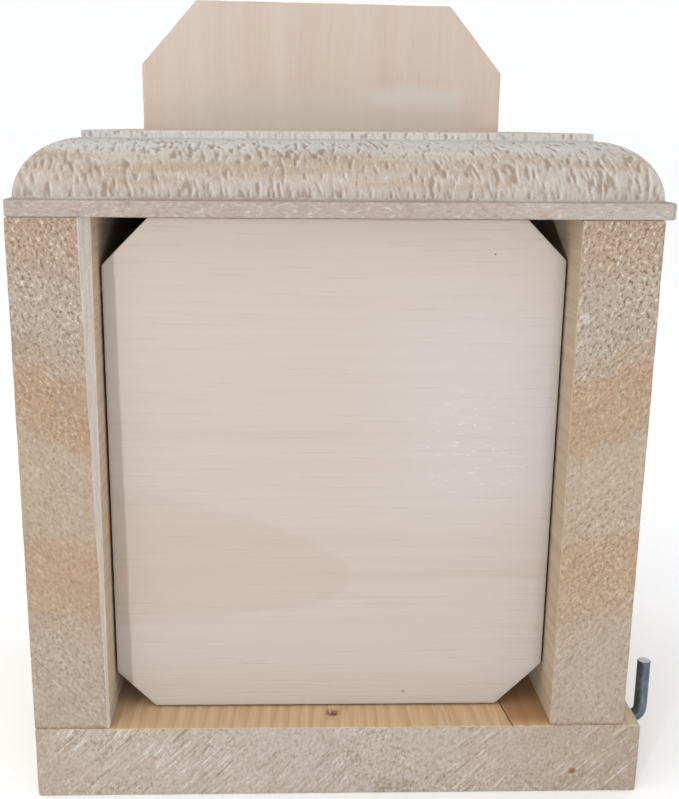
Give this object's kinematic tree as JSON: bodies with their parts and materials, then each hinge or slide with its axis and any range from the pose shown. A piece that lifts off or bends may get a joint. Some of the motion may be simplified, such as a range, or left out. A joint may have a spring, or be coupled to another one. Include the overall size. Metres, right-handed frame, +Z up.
{
  "type": "birdhouse",
  "caption": "Nesting box of thick boards with a moulded-edge roof, a blank swing-out plywood front, a tall plywood back plate, a side entrance and a turning screw hook.",
  "frame": {"origin": "centre of the base board's underside, midway between its ends and between its front and back edges", "axes": "+Z up, the blank front panel faces -Y, the back plate is on the +Y side, the screw hook is on the +X side and the entrance hole on the -X side"},
  "size_m": [0.1629, 0.11, 0.2047],
  "materials": {
    "board_wood": "rough-sawn unfinished softwood",
    "plywood": "unfinished thin plywood",
    "zinc_steel": "dull bluish zinc plate",
    "nail_steel": "plain bright wire nail"
  },
  "bodies": {
    "house": {"base_board": "board_wood", "left_wall": "board_wood", "right_wall": "board_wood", "roof_board": "board_wood", "back_plate": "plywood", "base_nails": "nail_steel", "roof_nails": "nail_steel", "plate_nails": "nail_steel", "pivot_nails": "nail_steel", "stop_brads": "nail_steel"},
    "front": {"front_panel": "plywood"},
    "hook": {"screw_hook": "zinc_steel"}
  },
  "joints": [
    {"name": "panel_swing", "type": "hinge", "parent": "house", "child": "front", "pos_m": [-0.00225, -0.0387, 0.129], "axis": [-1, 0, 0], "range_deg": [0, 130]},
    {"name": "hook_turn", "type": "hinge", "parent": "house", "child": "hook", "pos_m": [0.077, -0.032, 0.0095], "axis": [1, 0, 0], "range_deg": [-90, 90]}
  ]
}
